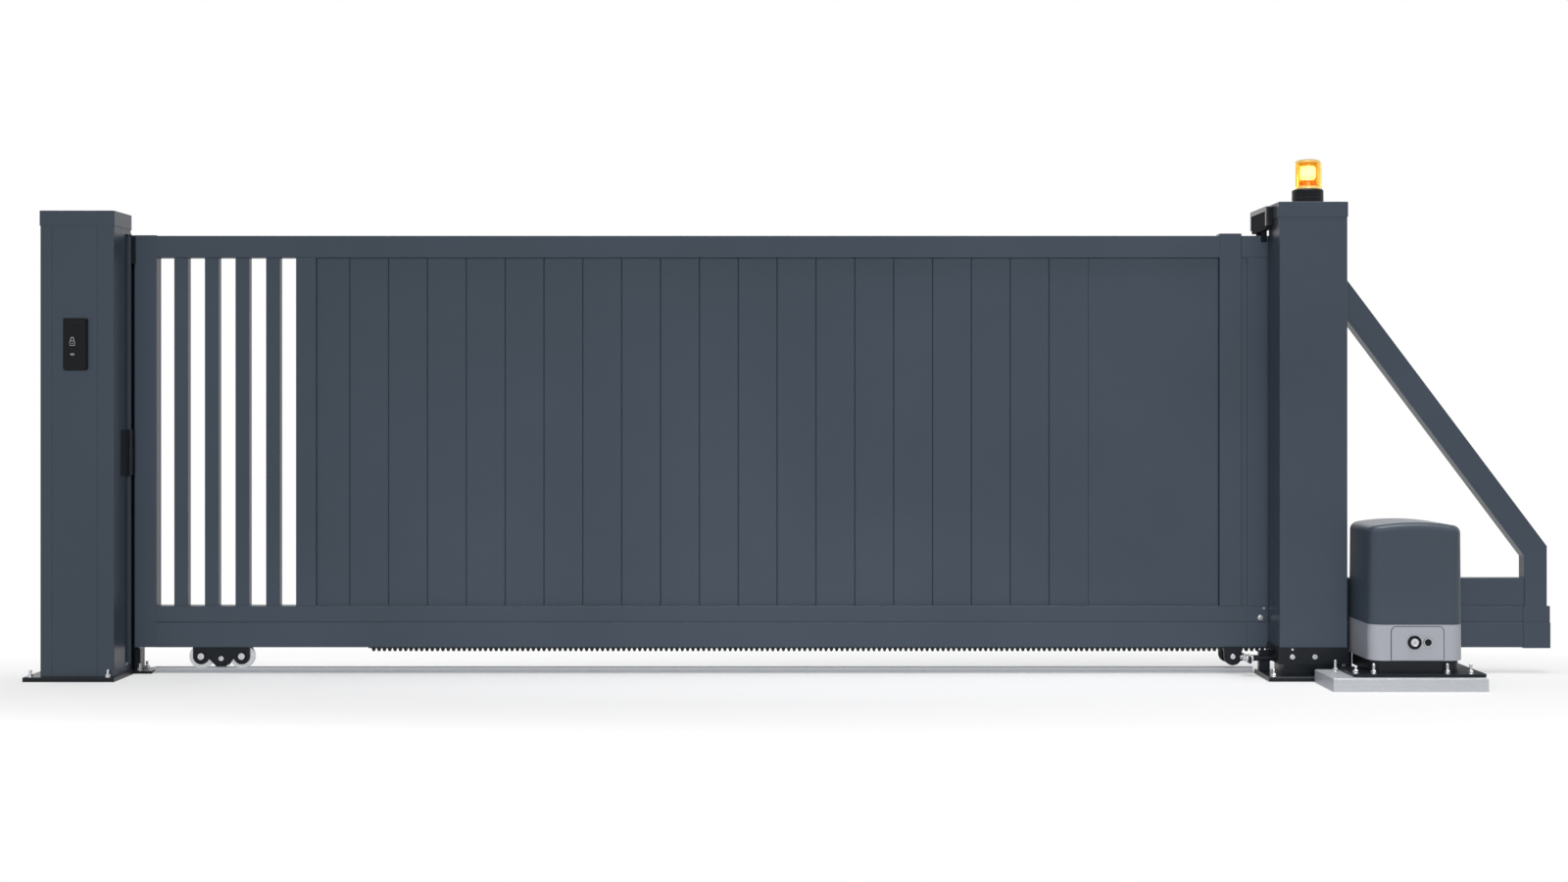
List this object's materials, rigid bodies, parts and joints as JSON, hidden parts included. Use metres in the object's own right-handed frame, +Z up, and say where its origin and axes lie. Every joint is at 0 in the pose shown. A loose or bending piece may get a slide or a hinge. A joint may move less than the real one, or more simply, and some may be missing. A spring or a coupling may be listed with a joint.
{
  "type": "automatic sliding gate",
  "caption": "Sliding gate leaf with pickets, upright boards and a braced tail, run by a rack drive between a catch post and a drive post.",
  "frame": {"origin": "underside of the drive post's base plate, on the post's centre line", "axes": "+X along the leaf towards the drive unit, +Y from the street side to the back, +Z up"},
  "size_m": [5.325, 0.635, 1.806],
  "materials": {
    "frame_paint": "fine textured satin powder coat, anthracite",
    "dark_paint": "satin dark coat",
    "black_plastic": "matte moulded",
    "nylon": "smooth turned nylon",
    "amber_lens": "clear amber moulding",
    "lamp": "lit lamp",
    "galvanised": "galvanised steel",
    "cast_housing": "fine cast, satin",
    "hood": "fine grained moulding",
    "bright_metal": "zinc plated"
  },
  "bodies": {
    "fixed": {"catch_post": "frame_paint", "catch_post_cap": "frame_paint", "catch_post_base": "dark_paint", "catch_column": "dark_paint", "catch_foot": "dark_paint", "lock_keeper": "dark_paint", "access_reader": "black_plastic", "drive_post": "frame_paint", "drive_post_cap": "frame_paint", "drive_post_base": "dark_paint", "top_guide_portal": "dark_paint", "guide_block_front": "nylon", "guide_block_rear": "nylon", "beacon_base": "black_plastic", "beacon_lens": "amber_lens", "beacon_lamp": "lamp", "ground_rail": "galvanised", "carriage_frame": "dark_paint", "motor_slab": "galvanised", "motor_base": "dark_paint", "motor_gearbox": "cast_housing", "motor_cover": "hood", "output_housing": "cast_housing"},
    "leaf": {"leading_stile": "frame_paint", "top_rail": "frame_paint", "bottom_rail": "frame_paint", "track_beam": "frame_paint", "pickets": "frame_paint", "mullion": "frame_paint", "board_panel": "frame_paint", "plain_panel": "frame_paint", "rear_stile": "frame_paint", "tail_stile": "frame_paint", "tail_top_rail": "frame_paint", "diagonal_brace": "frame_paint", "tail_post": "frame_paint", "tail_bar": "frame_paint", "tail_end_cap": "frame_paint", "rack": "dark_paint", "bogie_frame": "dark_paint"},
    "pinion": {"pinion": "bright_metal"},
    "support_roller": {"support_roller": "nylon"},
    "bogie_wheel_front": {"bogie_wheel_front": "bright_metal"},
    "bogie_wheel_rear": {"bogie_wheel_rear": "bright_metal"},
    "release_door": {"release_door": "cast_housing", "key_lock": "bright_metal"}
  },
  "joints": [
    {"name": "leaf_slide", "type": "slide", "parent": "fixed", "child": "leaf", "axis": [1, 0, 0], "range_m": [0, 3.4]},
    {"name": "pinion_spin", "type": "hinge", "parent": "fixed", "child": "pinion", "pos_m": [0.2887, 0, 0.0518], "axis": [0, 1, 0], "range_deg": [-10, 6600]},
    {"name": "support_roller_spin", "type": "hinge", "parent": "fixed", "child": "support_roller", "pos_m": [-0.2445, 0, 0.0617], "axis": [0, 1, 0], "range_deg": [-10, 6600]},
    {"name": "bogie_wheel_front_spin", "type": "hinge", "parent": "leaf", "child": "bogie_wheel_front", "pos_m": [-3.8985, 0, 0.0583], "axis": [0, 1, 0], "range_deg": [-10, 5300]},
    {"name": "bogie_wheel_rear_spin", "type": "hinge", "parent": "leaf", "child": "bogie_wheel_rear", "pos_m": [-3.7545, 0, 0.0583], "axis": [0, 1, 0], "range_deg": [-10, 5300]},
    {"name": "release_door_hinge", "type": "hinge", "parent": "fixed", "child": "release_door", "pos_m": [0.2887, -0.314, 0.0965], "axis": [1, 0, 0], "range_deg": [0, 85]}
  ],
  "couplings": [
    {"joint": "pinion_spin", "follows": "leaf_slide", "rad_per_m": 33.333},
    {"joint": "support_roller_spin", "follows": "leaf_slide", "rad_per_m": 33.333},
    {"joint": "bogie_wheel_front_spin", "follows": "leaf_slide", "rad_per_m": 27.027},
    {"joint": "bogie_wheel_rear_spin", "follows": "leaf_slide", "rad_per_m": 27.027}
  ]
}
